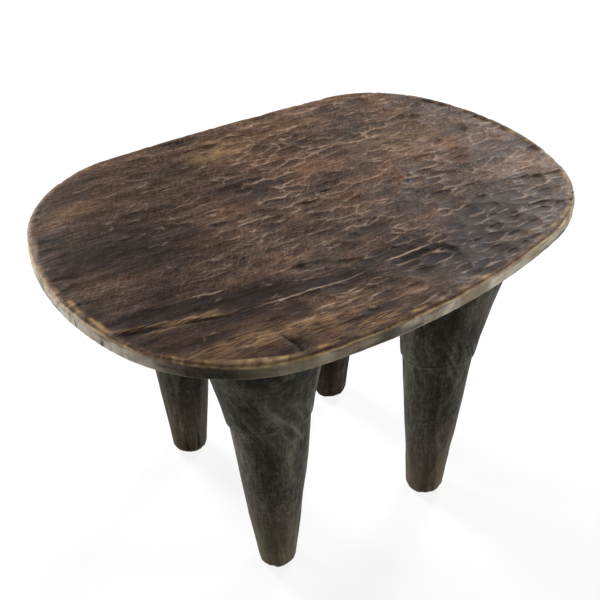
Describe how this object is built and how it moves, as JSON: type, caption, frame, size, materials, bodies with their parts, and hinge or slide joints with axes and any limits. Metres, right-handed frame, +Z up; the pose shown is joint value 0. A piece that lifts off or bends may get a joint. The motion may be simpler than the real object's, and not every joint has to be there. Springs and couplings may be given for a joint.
{
  "type": "carved wooden stool",
  "caption": "Low hand-carved stool with a broad, shallowly dished, round-cornered oblong seat on tapered legs that flare into its underside.",
  "frame": {"origin": "on the floor, under the middle of the seat's outline", "axes": "+X along the seat's long way and its grain, +Y across the seat towards its straighter long side, +Z up"},
  "size_m": [0.5199, 0.378, 0.338],
  "materials": {
    "seat_wood": "dark use-polished hardwood with adze marks, worn to tan along the rim",
    "leg_wood": "dark grey-brown hardwood, long tool facets, half-polished by handling"
  },
  "bodies": {
    "root": {"seat": "seat_wood", "leg_front_left": "leg_wood", "leg_front_right": "leg_wood", "leg_back_left": "leg_wood", "leg_back_right": "leg_wood"}
  },
  "joints": []
}
